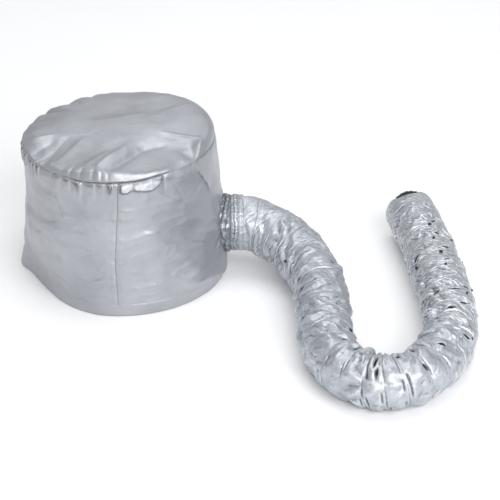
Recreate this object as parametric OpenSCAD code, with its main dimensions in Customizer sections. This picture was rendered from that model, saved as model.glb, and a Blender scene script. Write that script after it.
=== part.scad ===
// Soft bonnet for drying hair: a gathered fabric hood that is fed with warm air
// through a flexible hose, whose free end slips over the barrel of a hand dryer.
// Origin: centre of the hood's rim, on the surface it stands on. +Z up, hose leaves to +X.

/* [Hood] */
// Radius of the hood's rim, outside
rim_r = 141; // [130:0.5:150]
// Radius of the hood at the crown seam, outside
crown_r = 128; // [118:0.5:135]
// Height of the crown seam above the rim
crown_z = 190; // [170:1:210]
// Rise of the crown above its seam
crown_rise = 32; // [15:0.5:40]
// Thickness of the coated fabric
cloth_t = 0.8; // [0.6:0.1:1.2]
// Width of the seam allowances, inside the hood
allowance = 6; // [4:0.5:8]

/* [Rim] */
// Height of the folded casing at the rim
casing_h = 16; // [12:1:20]
// Depth of the casing, from its outer layer to its inner one
casing_d = 5; // [5:0.1:6]
// Width of the elastic tape in the casing
elastic_w = 8; // [6:0.5:10]
// Thickness of the elastic tape
elastic_t = 1.2; // [0.8:0.1:1.4]

/* [Inlet] */
// Height of the hose's centre where it meets the hood
inlet_z = 66; // [60:1:75]
// Radius of the hole in the side panel
port_r = 34; // [30:0.5:35]
// Distance from the hood's axis to the start of the hose
hose_x = 160; // [158:0.5:165]
// Outer radius of the collar in its valleys
collar_r = 36.2; // [35:0.1:37]
// Height of the collar's two pleats above the valleys
pleat_h = 2; // [1:0.1:3]
// Length of a pleat
pleat_l = 10; // [8:0.5:10]
// Length of the band that holds the hose
band_w = 6; // [5:0.5:7]

/* [Hose] */
// Outer radius of the hose
hose_r = 35.5; // [34:0.1:36]
// Thickness of each film of the hose
film_t = 0.6; // [0.5:0.05:0.8]
// Radius of the helix that the wire's centre follows
helix_r = 32.5; // [32.3:0.1:32.7]
// Radius of the wire
wire_r = 0.6; // [0.4:0.05:0.6]
// Distance between the wire's turns
pitch = 31; // [22:0.5:38]

/* [Dryer cuff] */
// Radius of the cuff's bore
bore_r = 27; // [24:0.5:27]
// Length of the cuff, from its hidden end to its mouth
cuff_l = 45; // [35:1:50]
// Outer radius of the cuff's rolled rim
roll_r = 33; // [31:0.5:35]

/* [Hidden] */
$fn = 96;

film_out = "#d3d5da";
cloth = "#b4b7be";
black = "#17171a";
tape = "#e6e4de";
steel = "#8c9094";

// Clearance between soft solids on different bodies
gap = 0.3;
// Width and height of a line of stitching
thread = 0.5;
// Distance of a line of stitching from the edge that it holds
stitch_in = 3;
// Outer radius of the band, which is loose on the hose
band_r = hose_r + 2.4;
// Radius and height of the dome's sphere
dome_r = (crown_r * crown_r + crown_rise * crown_rise) / (2 * crown_rise);
dome_z = crown_z + crown_rise - dome_r;
dome_steps = 14;

// Height of the hose's centre where it lies on the surface
lie = hose_r + 0.05;
// The hose's centre line, from the collar to the cuff. It comes down to the surface within
// the first bend and lies on it from there.
route = [
    [hose_x, 0, inlet_z], [174, -1, 65], [196, -7, 60], [217, -20, 53], [237, -42, 45],
    [255, -76, 39], [267, -122, 36], [270, -172, lie], [271, -214, lie], [272, -258, lie],
    [281, -301, lie], [303, -334, lie], [329, -350, lie], [355, -349, lie],
    [379, -335, lie], [402, -309, lie], [421, -272, lie], [431, -225, lie],
    [433, -171, lie], [430, -114, lie], [424, -58, lie], [418, -4, lie],
    [411, 40, lie], [405, 80, lie]
];
last = len(route) - 1;
// Rings between two route points: few on the films, more on the wire's guide line
film_steps = 2;
guide_steps = 8;
sides = 16;
wire_sides = 4;
turn_points = 16;
// The wire starts and stops this far from the hose's ends
wire_end = 10;

// --- The hood's wall -------------------------------------------------------------------

function wall_r(z) = rim_r - (rim_r - crown_r) * z / crown_z;

// Outline of a layer of the wall between two heights, from `outer` to `inner` inside it
module layer(z0, z1, outer, inner)
    polygon([
        [wall_r(z0) - inner, z0], [wall_r(z0) - outer, z0],
        [wall_r(z1) - outer, z1], [wall_r(z1) - inner, z1]
    ]);

// Half of the wall, with a seam allowance turned in at both of its edges
module half_wall(side) {
    start = side > 0 ? -90 : 90;
    rotate([0, 0, start]) rotate_extrude(angle = 180)
        layer(cloth_t, crown_z, cloth_t, 2 * cloth_t);
    for (a = [-90, 90])
        rotate([0, 0, a]) rotate([90, 0, 0])
            translate([0, 0, side * a > 0 ? 0 : -cloth_t]) linear_extrude(cloth_t)
                layer(casing_h + 2, crown_z - 10, 1.5 * cloth_t, allowance);
}

module side_panel_left() color(cloth)
    half_wall(-1);

module side_panel_right() color(cloth)
    difference() {
        half_wall(1);
        translate([0, 0, inlet_z]) rotate([0, 90, 0]) cylinder(r = port_r, h = 2 * rim_r);
    }

// A dome that ends in a lip turned down inside the wall
module crown_panel() color(cloth) {
    edge = asin((crown_r - cloth_t) / dome_r);
    rotate_extrude() polygon(concat(
        [for (i = [0 : dome_steps]) let (a = edge * i / dome_steps)
            [dome_r * sin(a), dome_z + dome_r * cos(a)]],
        [
            [wall_r(crown_z) - 2 * cloth_t, crown_z],
            [wall_r(crown_z - allowance) - 2 * cloth_t, crown_z - allowance],
            [wall_r(crown_z - allowance) - 3 * cloth_t, crown_z - allowance],
            [wall_r(crown_z) - 3 * cloth_t, crown_z - cloth_t]
        ],
        [for (i = [dome_steps - 1 : -1 : 0]) let (a = edge * i / dome_steps)
            [(dome_r - cloth_t) * sin(a), dome_z + (dome_r - cloth_t) * cos(a)]]
    ));
}

// A band folded round the rim: an outer layer, the fold and an inner layer
module hem_casing() color(cloth)
    rotate_extrude() union() {
        layer(0, casing_h, 0, cloth_t);
        layer(0, cloth_t, 0, casing_d);
        layer(0, casing_h, casing_d - cloth_t, casing_d);
    }

module hem_elastic() color(tape)
    rotate_extrude()
        translate([wall_r(casing_h / 2) - 2 * cloth_t - 0.5 - elastic_t, cloth_t + 1.5])
            square([elastic_t, elastic_w]);

// A line of stitching round the wall, at height z and `sunk` inside its outer surface
module ring_thread(z, sunk)
    rotate_extrude()
        translate([wall_r(z) - sunk, z]) square([thread, thread]);

module crown_seam_thread() color(steel)
    ring_thread(crown_z - stitch_in, cloth_t);

module hem_thread() color(steel)
    ring_thread(casing_h - stitch_in, 0);

// A line of stitching up the wall at the angle `at`
module up_thread(at) color(steel)
    rotate([0, 0, at]) rotate([90, 0, 0]) translate([0, 0, -thread / 2])
        linear_extrude(thread)
            layer(casing_h + 1, crown_z - stitch_in - 1, cloth_t - thread, cloth_t);

module front_seam_thread() up_thread(-90);

module back_seam_thread() up_thread(90);

// --- The inlet -------------------------------------------------------------------------

// A tube along the inlet's axis, from x0 to x1
module inlet_tube(x0, x1, outer, inner)
    translate([x0, 0, inlet_z]) rotate([0, 90, 0]) difference() {
        cylinder(r = outer, h = x1 - x0);
        translate([0, 0, -1]) cylinder(r = inner, h = x1 - x0 + 2);
    }

// The body that the wall's outer surface encloses, grown by `by`
module wall_body(by)
    rotate_extrude()
        polygon([[0, 0], [rim_r + by, 0], [crown_r + by, crown_z], [0, crown_z]]);

module port_seam_thread() color(steel)
    intersection() {
        inlet_tube(100, hose_x, collar_r + pleat_h + 3, collar_r + pleat_h + 2.5);
        rotate_extrude() layer(1, crown_z - 1, cloth_t - thread, cloth_t);
    }

// A gathered sleeve with two pleats, its inner end cut to the shape of the wall
module inlet_collar() color(cloth) {
    peak = collar_r + pleat_h;
    outline = [
        [collar_r, 0], [peak, pleat_l / 2], [collar_r, pleat_l], [peak, 1.5 * pleat_l],
        [peak, rim_r / 2]
    ];
    difference() {
        translate([hose_x - gap, 0, inlet_z]) rotate([0, -90, 0]) rotate_extrude()
            polygon(concat(
                outline,
                [for (i = [len(outline) - 1 : -1 : 0]) [outline[i].x - cloth_t, outline[i].y]]
            ));
        wall_body(gap);
    }
}

module collar_thread() color(steel)
    inlet_tube(hose_x - gap - pleat_l - thread / 2, hose_x - gap - pleat_l + thread / 2,
        collar_r + thread, collar_r + thread * pleat_h / pleat_l);

module collar_band() color(film_out)
    inlet_tube(hose_x, hose_x + band_w, band_r, band_r - cloth_t);

module band_thread() color(steel)
    inlet_tube(hose_x + band_w / 2, hose_x + band_w / 2 + thread, band_r + thread, band_r);

// --- The hose --------------------------------------------------------------------------

// A point of the smooth curve through the route, `u` of the way from point i to the next
function bend(i, u) =
    let (a = route[max(i - 1, 0)], b = route[i], c = route[i + 1], d = route[min(i + 2, last)])
    (2 * b + (c - a) * u + (2 * a - 5 * b + 4 * c - d) * u * u
        + (3 * b - a - 3 * c + d) * u * u * u) / 2;

function curve(steps) = concat(
    [for (i = [0 : last - 1]) for (k = [0 : steps - 1]) bend(i, k / steps)],
    [route[last]]
);

function unit(v) = v / norm(v);

function heading(points, i) =
    i == 0 ? [1, 0, 0] :
    i == len(points) - 1 ? unit(points[i] - points[i - 1]) :
    unit(points[i + 1] - points[i - 1]);

// A point at radius r and angle a round the centre c of a curve that heads along t
function around(c, t, r, a) =
    let (across = unit(cross([0, 0, 1], t)), up = cross(t, across))
    c + r * (cos(a) * across + sin(a) * up);

function ring(points, i, r) =
    [for (k = [0 : sides - 1]) around(points[i], heading(points, i), r, 360 * (k + 0.5) / sides)];

// Triangles between rings of n points, one ring after the other
function skin(rings, n, flip) =
    [for (i = [0 : rings - 2]) for (k = [0 : n - 1])
        let (a = i * n + k, b = i * n + (k + 1) % n)
        each flip ? [[a, b, b + n], [a, b + n, a + n]] : [[b + n, b, a], [a + n, b + n, a]]];

// A thin tube along the route
module film(outer) {
    points = curve(film_steps);
    rings = len(points);
    half = rings * sides;
    flat_r = outer / cos(180 / sides);
    all_points = concat(
        [for (i = [0 : rings - 1]) each ring(points, i, flat_r)],
        [for (i = [0 : rings - 1]) each ring(points, i, flat_r - film_t)]
    );
    ends = [for (e = [0, rings - 1]) for (k = [0 : sides - 1])
        let (a = e * sides + k, b = e * sides + (k + 1) % sides)
        e == 0 ? [a, a + half, b + half, b] : [b, b + half, a + half, a]];
    inside = [for (f = skin(rings, sides, false)) [for (v = f) v + half]];
    polyhedron(all_points, concat(skin(rings, sides, true), inside, ends), convexity = 8);
}

module hose_outer_film() color(film_out)
    film(hose_r);

module hose_inner_film() color(black)
    film(helix_r - wire_r - 1.4);

guide = curve(guide_steps);
// Distance along the guide line to each of its points
runs = [for (i = 0, s = 0; i < len(guide);
    s = s + (i < len(guide) - 1 ? norm(guide[i + 1] - guide[i]) : 0), i = i + 1) s];
hose_l = runs[len(runs) - 1];

function along(s) = [for (k = [0 : 2])
    lookup(s, [for (i = [0 : len(guide) - 1]) [runs[i], guide[i][k]]])];

// The wire: a helix between the two films
module hose_wire() color(steel) {
    turns = floor((hose_l - 2 * wire_end) / pitch);
    n = turns * turn_points;
    rings = [for (j = [0 : n])
        let (s = wire_end + j * pitch / turn_points, c = along(s),
            t = unit(along(s + 1) - along(s - 1)),
            centre = around(c, t, helix_r, 360 * j / turn_points),
            out = unit(centre - c))
        [for (k = [0 : wire_sides - 1]) let (a = 360 * k / wire_sides)
            centre + wire_r * (cos(a) * out + sin(a) * t)]];
    polyhedron([for (r = rings) each r], concat(
        skin(n + 1, wire_sides, true),
        [[for (k = [0 : wire_sides - 1]) k]],
        [[for (k = [wire_sides - 1 : -1 : 0]) n * wire_sides + k]]
    ), convexity = 20);
}

// --- The cuff --------------------------------------------------------------------------

end_dir = unit(route[last] - route[last - 1]);
// How far the cuff's mouth stands out of the hose, and how thick its fabric is
mouth = 7;
cuff_t = 1;

// Puts a shape drawn along +Z at the end of the hose, pointing out of it
module at_end()
    translate(route[last])
        rotate([0, 0, atan2(end_dir.y, end_dir.x)]) rotate([0, 90, 0]) children();

module dryer_cuff() color(black)
    at_end() rotate_extrude() polygon([
        [bore_r, mouth - cuff_l], [bore_r + cuff_t, mouth - cuff_l],
        [bore_r + cuff_t, mouth - cuff_t], [roll_r - cuff_t, mouth - cuff_t],
        [roll_r - cuff_t, 0.5], [roll_r, 0.5], [roll_r, mouth], [bore_r, mouth]
    ]);

module cuff_elastic() color(tape)
    at_end() rotate_extrude()
        translate([bore_r + 2 * cuff_t, 0.6]) square([2, mouth - cuff_t - 1]);

module cuff_thread() color(steel)
    at_end() rotate_extrude()
        translate([bore_r + cuff_t, -stitch_in]) square([thread, thread]);

crown_panel();
side_panel_left();
side_panel_right();
hem_casing();
hem_elastic();
crown_seam_thread();
front_seam_thread();
back_seam_thread();
hem_thread();
port_seam_thread();
inlet_collar();
collar_thread();
collar_band();
band_thread();
hose_outer_film();
hose_wire();
hose_inner_film();
dryer_cuff();
cuff_elastic();
cuff_thread();
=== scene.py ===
"""A silver drying hood: a gathered bonnet with an elastic rim, fed by a film and wire hose."""

import math

import bpy
import numpy as np
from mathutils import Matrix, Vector


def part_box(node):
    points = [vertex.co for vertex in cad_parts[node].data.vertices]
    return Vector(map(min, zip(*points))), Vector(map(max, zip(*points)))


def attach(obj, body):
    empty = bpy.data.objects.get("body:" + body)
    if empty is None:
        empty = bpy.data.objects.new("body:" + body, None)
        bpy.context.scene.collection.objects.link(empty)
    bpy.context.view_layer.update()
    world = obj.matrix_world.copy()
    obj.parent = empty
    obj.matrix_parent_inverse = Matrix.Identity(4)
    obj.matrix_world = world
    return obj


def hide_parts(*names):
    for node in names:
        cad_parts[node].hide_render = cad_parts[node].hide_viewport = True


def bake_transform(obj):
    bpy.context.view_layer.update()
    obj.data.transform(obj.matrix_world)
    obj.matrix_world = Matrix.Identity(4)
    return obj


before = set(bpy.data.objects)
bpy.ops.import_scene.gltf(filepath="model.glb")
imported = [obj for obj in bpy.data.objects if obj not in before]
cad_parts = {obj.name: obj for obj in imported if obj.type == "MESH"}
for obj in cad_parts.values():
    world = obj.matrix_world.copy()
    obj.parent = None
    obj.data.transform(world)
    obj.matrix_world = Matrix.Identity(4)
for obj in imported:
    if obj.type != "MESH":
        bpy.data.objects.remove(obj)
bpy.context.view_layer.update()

MM = 0.001
TAU = 2 * math.pi

# --- Driving sizes, from the CAD nodes --------------------------------------------------

RIM_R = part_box("hem_casing")[1].x
SEAM_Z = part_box("side_panel_left")[1].z
TOP_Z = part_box("crown_panel")[1].z
CLOTH = 0.8 * MM
SEAM_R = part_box("crown_panel")[1].x + CLOTH
CASING_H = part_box("hem_casing")[1].z
HOSE_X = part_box("collar_band")[0].x
BAND_R = (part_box("collar_band")[1].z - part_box("collar_band")[0].z) / 2
INLET_Z = (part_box("collar_band")[1].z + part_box("collar_band")[0].z) / 2

HOSE_R = 35.5 * MM
# The height of the hose's axis where it lies on the floor, in mm
LIE = 35.55
# The radius of the black lining, inside the wire
LINING_R = 28
# How far the wire stops short of either end of the hose
WIRE_END = 10 * MM
# Round the inlet: the hole in the wall, the collar's seam on it, and the puckers beside that
PORT_HOLE = 33 * MM
PORT_SEAM = 41 * MM
PUCKERS = 44 * MM
# Where the collar's two halves meet, and the thread there
COLLAR_MIDDLE = 149.2 * MM
COLLAR_SEAM = 37.3 * MM

# The hose's route, as in the CAD model: x, y, z in millimetres
ROUTE = np.array([
    (160, 0, 66), (174, -1, 65), (196, -7, 60), (217, -20, 53), (237, -42, 45),
    (255, -76, 39), (267, -122, 36), (270, -172, LIE), (271, -214, LIE), (272, -258, LIE),
    (281, -301, LIE), (303, -334, LIE), (329, -350, LIE), (355, -349, LIE),
    (379, -335, LIE), (402, -309, LIE), (421, -272, LIE), (431, -225, LIE),
    (433, -171, LIE), (430, -114, LIE), (424, -58, LIE), (418, -4, LIE),
    (411, 40, LIE), (405, 80, LIE),
]) * MM


# --- Camera -----------------------------------------------------------------------------

def make_camera():
    """The photograph's viewing angle: 29 degrees down, from 2.5 m away."""
    data = bpy.data.cameras.new("camera")
    data.sensor_width = 36
    data.lens = 129.3
    data.clip_end = 50
    camera = bpy.data.objects.new("camera", data)
    bpy.context.collection.objects.link(camera)
    camera.location = (0.1754, -2.1771, 1.2291)
    camera.rotation_euler = (math.radians(61), 0, 0)
    bpy.context.scene.camera = camera


# --- Numbers: noise, ramps and creases --------------------------------------------------

def smooth(low, high, x):
    t = np.clip((x - low) / (high - low), 0, 1)
    return t * t * (3 - 2 * t)


def lattice(i, j, k, seed):
    """A repeatable random number from -1 to 1 at each point of a grid."""
    h = (i * 374761393 + j * 668265263 + k * 2147483647 + seed * 1274126177) & 0xFFFFFFFF
    h = ((h ^ (h >> 13)) * 1274126177) & 0xFFFFFFFF
    h = h ^ (h >> 16)
    return (h & 0xFFFFFF) / 8388607.5 - 1


def noise(points, cell, seed):
    """Smooth noise from -1 to 1; cell is its size along x, y and z."""
    q = points / np.array(cell)
    base = np.floor(q).astype(np.int64)
    f = q - base
    w = f * f * f * (f * (6 * f - 15) + 10)
    total = 0
    for corner in range(8):
        step = [(corner >> axis) & 1 for axis in range(3)]
        weight = 1
        for axis in range(3):
            weight = weight * (w[..., axis] if step[axis] else 1 - w[..., axis])
        i, j, k = (base[..., axis] + step[axis] for axis in range(3))
        total = total + weight * lattice(i, j, k, seed)
    return total


def cloudy(points, cell, seed, octaves=3):
    total = 0
    for n in range(octaves):
        total = total + noise(points, np.array(cell) / 2 ** n, seed + n) / 2 ** n
    return total


def warped(points, distance, cell, seed):
    """The points moved a little by noise, so that creases made from them bend."""
    shifts = [noise(points, (cell,) * 3, seed + k) for k in range(3)]
    return points + distance * np.stack(shifts, -1)


def turns_from(turn, side):
    """How far a place is from a side, in turns, the short way round."""
    return (turn - side + 0.5) % 1 - 0.5


def round_turns(count):
    """Places once round, in turns."""
    return np.linspace(0, 1, count, endpoint=False)


def unit(vectors):
    return vectors / np.linalg.norm(vectors, axis=-1, keepdims=True)


def distances_along(points):
    """How far along a line of points each point lies."""
    return np.concatenate([[0], np.cumsum(np.linalg.norm(np.diff(points, axis=0), axis=1))])


# --- Meshes -----------------------------------------------------------------------------

def new_object(name, points, faces, material):
    mesh = bpy.data.meshes.new(name)
    mesh.from_pydata(np.asarray(points).reshape(-1, 3).tolist(), [], faces)
    mesh.polygons.foreach_set("use_smooth", [True] * len(mesh.polygons))
    mesh.materials.append(material)
    mesh.update()
    piece = bpy.data.objects.new(name, mesh)
    bpy.context.collection.objects.link(piece)
    return piece


def spread(down, across):
    """A grid's two numbers at every point, from one number a row and one a column."""
    return down[:, None].repeat(len(across), 1), across[None, :].repeat(len(down), 0)


def grid_faces(rows, columns, closed, flip=False):
    """Quads of a grid of rows of points; closed joins each row's last point to its first."""
    i = np.arange(rows - 1)[:, None]
    j = np.arange(columns if closed else columns - 1)[None, :]
    right = (j + 1) % columns
    quads = np.stack([i * columns + j, i * columns + right,
                      (i + 1) * columns + right, (i + 1) * columns + j], -1).reshape(-1, 4)
    return (quads[:, ::-1] if flip else quads).tolist()


def blurred(heights, rows, columns):
    """A grid of heights averaged over a window; its columns go once round."""
    padded = np.pad(heights, ((rows, rows), (0, 0)), mode="edge")
    sums = np.cumsum(np.concatenate([padded[:1] * 0, padded]), axis=0)
    flat = (sums[2 * rows + 1:] - sums[:-2 * rows - 1]) / (2 * rows + 1)
    return sum(np.roll(flat, k, axis=1) for k in range(-columns, columns + 1)) / (2 * columns + 1)


def sheet_creases(points, rows, columns):
    """How far each point of a grid lies below its neighbours along the grid's normal, in mm."""
    middle = sum(np.roll(points, k, axis=0) for k in (-rows, rows))
    middle = (middle + sum(np.roll(points, k, axis=1) for k in (-columns, columns))) / 4
    step_a, step_b = np.gradient(points, axis=(0, 1))
    normal = np.cross(step_b, step_a)
    normal /= np.maximum(np.linalg.norm(normal, axis=-1, keepdims=True), 1e-12)
    sunk = np.sum((middle - points) * normal, -1) / MM
    sunk[:rows], sunk[-rows:], sunk[:, :columns], sunk[:, -columns:] = 0, 0, 0, 0
    return sunk


def keep_creases(piece, depths, name="crease"):
    """Stores how deep in a crease (or how sharp on a ridge) each point is, from 0 to 1; the shaders
    paint shade in creases and highlights on ridges from it.
    """
    mesh = piece.data
    values = np.zeros(len(mesh.vertices))
    values[:depths.size] = depths.reshape(-1)
    mesh.attributes.new(name, "FLOAT", "POINT").data.foreach_set("value", values)


def thicken(piece, depth):
    """Gives an open surface the thickness of its cloth, on its inner side."""
    solid = piece.modifiers.new("cloth", "SOLIDIFY")
    solid.thickness = depth
    solid.offset = -1
    return piece


def stitches(name, centres, alongs, outs, length, radius, material):
    """One short bead of thread at each centre, which dips into the cloth at both ends."""
    sides = 6
    steps = [(-0.5, 0.3, -0.9), (-0.3, 0.9, 0.1), (0, 1, 0.45), (0.3, 0.9, 0.1), (0.5, 0.3, -0.9)]
    across = unit(np.cross(outs, alongs))
    points = []
    for shift, fat, lift in steps:
        centre = centres + alongs * shift * length + outs * lift * radius
        for k in range(sides):
            a = TAU * k / sides
            points.append(centre + radius * fat * (np.cos(a) * across + np.sin(a) * outs))
    points = np.stack(points, 1)
    faces = []
    one = grid_faces(len(steps), sides, True)
    ends = [list(range(sides))[::-1], list(range((len(steps) - 1) * sides, len(steps) * sides))]
    for n in range(len(centres)):
        start = n * len(steps) * sides
        faces += [[v + start for v in f] for f in one + ends]
    return new_object(name, points, faces, material)


def spaced(points, step):
    """Points every `step` along a line of points, and the headings there."""
    runs = distances_along(points)
    at = np.arange(step / 2, runs[-1], step)
    there, ahead, behind = (
        np.stack([np.interp(at + d, runs, points[:, k]) for k in range(3)], -1)
        for d in (0, step / 4, -step / 4))
    return there, unit(ahead - behind)


def ring_of_stitches(name, line, middle, step, length, radius, material):
    """Stitches along a closed line, each facing away from its middle."""
    centres, alongs = spaced(line, step)
    return stitches(name, centres, alongs, unit(centres - middle), length, radius, material)


def thread_of(piece, node, body):
    """Hides the thread's node in the CAD model and attaches the thread to the body that it rides on.
    """
    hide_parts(node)
    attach(piece, body)
    return piece


# --- Materials --------------------------------------------------------------------------

def shader(name, colour, roughness, metallic=0.0, **more):
    """A new material, its node tree, its shader node and its coordinate output."""
    material = bpy.data.materials.new(name)
    material.use_nodes = True
    tree = material.node_tree
    bsdf = tree.nodes["Principled BSDF"]
    bsdf.inputs["Base Color"].default_value = (*colour, 1)
    bsdf.inputs["Roughness"].default_value = roughness
    bsdf.inputs["Metallic"].default_value = metallic
    for socket, value in more.items():
        bsdf.inputs[socket.replace("_", " ")].default_value = value
    coordinate = tree.nodes.new("ShaderNodeTexCoord").outputs["Object"]
    return material, tree, bsdf, coordinate


def plug(tree, bsdf, **sources):
    """Links outputs to the shader's sockets, by their names."""
    for socket, source in sources.items():
        tree.links.new(source, bsdf.inputs[socket.replace("_", " ")])


def add(tree, kind, **values):
    node = tree.nodes.new(kind)
    for key, value in values.items():
        if key in node.inputs:
            node.inputs[key].default_value = value
        else:
            setattr(node, key, value)
    return node


def ramp(tree, source, stops):
    node = tree.nodes.new("ShaderNodeValToRGB")
    elements = node.color_ramp.elements
    for n, (place, colour) in enumerate(stops):
        element = elements[n] if n < 2 else elements.new(place)
        element.position = place
        element.color = (*colour, 1)
    tree.links.new(source, node.inputs["Fac"])
    return node.outputs["Color"]


def greys(tree, source, *stops):
    return ramp(tree, source, [(place, (grey,) * 3) for place, grey in stops])


def bump(tree, source, distance, strength, after=None):
    node = add(tree, "ShaderNodeBump", Strength=strength, Distance=distance)
    tree.links.new(source, node.inputs["Height"])
    if after:
        tree.links.new(after, node.inputs["Normal"])
    return node.outputs["Normal"]


def texture(tree, kind, coordinate, **values):
    node = add(tree, kind, **values)
    tree.links.new(coordinate, node.inputs["Vector"])
    return node.outputs


def noise_node(tree, coordinate, scale, detail=4, roughness=0.55, distortion=0):
    return texture(tree, "ShaderNodeTexNoise", coordinate, Scale=scale, Detail=detail,
                   Roughness=roughness, Distortion=distortion)["Fac"]


def crease_shaded(tree, colour, least, deepest):
    """Painted shade: a colour made darker where the surface is creased, and darkest in the deepest
    folds.
    """
    # Painted shade in creases, read from the crease attribute
    crease = add(tree, "ShaderNodeAttribute", attribute_name="crease").outputs["Fac"]
    shade = add(tree, "ShaderNodeMix", data_type="RGBA", blend_type="MULTIPLY")
    shade.inputs["Factor"].default_value = 1
    tree.links.new(colour, shade.inputs[6])
    tree.links.new(greys(tree, crease, (0.0, 1), (0.7, least), (1.0, deepest)), shade.inputs[7])
    return shade.outputs[2]


def summed(tree, first, second):
    node = add(tree, "ShaderNodeMath", operation="ADD")
    tree.links.new(first, node.inputs[0])
    tree.links.new(second, node.inputs[1])
    return node.outputs[0]


def coated_cloth(name, light, dark, roughness, metallic):
    """Silver coated taffeta: a fine weave under a slightly mottled metallic coat, with painted shade
    in its creases.
    """
    material, tree, bsdf, coordinate = shader(name, light, roughness, metallic)
    mottle = noise_node(tree, coordinate, 14, 5, 0.6)
    colour = ramp(tree, mottle, [(0.35, dark), (0.65, light)])
    sheen = greys(tree, noise_node(tree, coordinate, 45, 3),
                  (0.3, roughness - 0.05), (0.7, roughness + 0.06))
    crinkle = bump(tree, noise_node(tree, coordinate, 120, 6, 0.65, 0.6), 0.0014, 0.4)
    x, y, z = (texture(tree, "ShaderNodeTexWave", coordinate, Scale=420, Distortion=0.3,
                       bands_direction=direction)["Fac"] for direction in "XYZ")
    weave = bump(tree, summed(tree, summed(tree, x, y), z), 0.00008, 0.25, crinkle)
    # Base colour with painted shade in the creases
    plug(tree, bsdf, Base_Color=crease_shaded(tree, colour, 0.6, 0.5), Roughness=sheen, Normal=weave)
    return material


def metal_film(name, light, dark, roughness):
    """Thin metallised film: bright, crinkled, with flat facets, painted shade in its creases and
    painted highlights on its ridges.
    """
    material, tree, bsdf, coordinate = shader(name, light, roughness, 0.75)
    mottle = noise_node(tree, coordinate, 55, 5, 0.65)
    colour = ramp(tree, mottle, [(0.32, dark), (0.6, light)])
    # Painted highlights: a pale grey added to the colour on the film's sharp ridges
    ridge = add(tree, "ShaderNodeAttribute", attribute_name="ridge").outputs["Fac"]
    ridge_highlight = add(tree, "ShaderNodeMix", data_type="RGBA", blend_type="ADD")
    ridge_highlight.inputs[7].default_value = (0.34, 0.34, 0.34, 1)
    tree.links.new(ridge, ridge_highlight.inputs["Factor"])
    # Painted shade in the film's creases, near black in its dips
    tree.links.new(crease_shaded(tree, colour, 0.3, 0.02), ridge_highlight.inputs[6])
    dull = greys(tree, noise_node(tree, coordinate, 120, 3),
                 (0.3, roughness - 0.08), (0.7, roughness + 0.12))
    warp = texture(tree, "ShaderNodeTexNoise", coordinate, Scale=70, Detail=3)["Color"]
    shift = add(tree, "ShaderNodeVectorMath", operation="SCALE", Scale=0.02)
    tree.links.new(warp, shift.inputs[0])
    moved = add(tree, "ShaderNodeVectorMath", operation="ADD")
    tree.links.new(coordinate, moved.inputs[0])
    tree.links.new(shift.outputs[0], moved.inputs[1])
    cells = texture(tree, "ShaderNodeTexVoronoi", moved.outputs[0], Scale=170,
                    feature="DISTANCE_TO_EDGE")["Distance"]
    normal = bump(tree, cells, 0.0010, 0.3)
    normal = bump(tree, noise_node(tree, coordinate, 260, 4, 0.6), 0.0003, 0.25, normal)
    plug(tree, bsdf, Base_Color=ridge_highlight.outputs[2], Roughness=dull, Normal=normal)
    return material


def plain_thread(name, colour, roughness=0.6):
    """Twisted thread."""
    material, tree, bsdf, coordinate = shader(name, colour, roughness)
    fibre = noise_node(tree, coordinate, 1800, 3)
    darker = tuple(c * 0.6 for c in colour)
    plug(tree, bsdf, Base_Color=ramp(tree, fibre, [(0.3, darker), (0.7, colour)]),
         Normal=bump(tree, fibre, 0.0001, 0.5))
    return material


def knitted(name, colour, scale, roughness=0.85):
    """Elastic or cuff cloth: fine ribs with soft fuzz."""
    material, tree, bsdf, coordinate = shader(name, colour, roughness, Sheen_Weight=0.3)
    ribs = texture(tree, "ShaderNodeTexVoronoi", coordinate, Scale=scale)["Distance"]
    darker = tuple(c * 0.55 for c in colour)
    plug(tree, bsdf, Base_Color=ramp(tree, ribs, [(0.1, colour), (0.7, darker)]),
         Normal=bump(tree, ribs, 0.0003, 0.5))
    return material


def coated_wire(name):
    """Black lacquered steel wire, dulled where it has chafed."""
    material, tree, bsdf, coordinate = shader(name, (0.02, 0.02, 0.022), 0.4, 0.3)
    rub = noise_node(tree, coordinate, 220, 4)
    lacquer, steel = (0.015, 0.015, 0.017), (0.12, 0.12, 0.13)
    plug(tree, bsdf, Base_Color=ramp(tree, rub, [(0.5, lacquer), (0.8, steel)]),
         Normal=bump(tree, rub, 0.0002, 0.3))
    return material


def studio_floor(name):
    material, tree, bsdf, coordinate = shader(name, (0.96, 0.96, 0.96), 0.8)
    cloud = noise_node(tree, coordinate, 3, 2)
    plug(tree, bsdf, Base_Color=greys(tree, cloud, (0.3, 0.955), (0.7, 0.97)))
    return material


# --- Hood -------------------------------------------------------------------------------

# Points round the hood, and rings of points from the crown's centre to its seam
ROUND = 768
CROWN_RINGS = ROUND // 8

# How strong the gathers at the crown seam are: angle in degrees from +X, strength
GATHER = [(0, 0.12), (60, 0.2), (92, 0.4), (104, 0.8), (130, 1.0), (165, 1.0), (185, 0.75),
          (215, 0.9), (255, 0.9), (268, 0.8), (272, 0.3), (292, 0.3), (297, 0.5), (303, 0.25),
          (330, 0.12), (360, 0.12)]
# Where the back of the gathered cloth is pinched into the seam, in degrees
BACK_PINCHES = (0, 17, 30, 49, 66, 84, 101, 114, 132, 150, 166, 177)


def gather_breaks():
    """Angles, in turns, at which the gathered cloth is pinched into the seam."""
    rng = np.random.default_rng(11)
    breaks = [angle / 360 for angle in BACK_PINCHES]
    while breaks[-1] < 0.98:
        breaks.append(breaks[-1] + rng.uniform(0.009, 0.028))
    breaks[-1] = 1.0
    return np.array(breaks)


BREAKS = gather_breaks()


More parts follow.
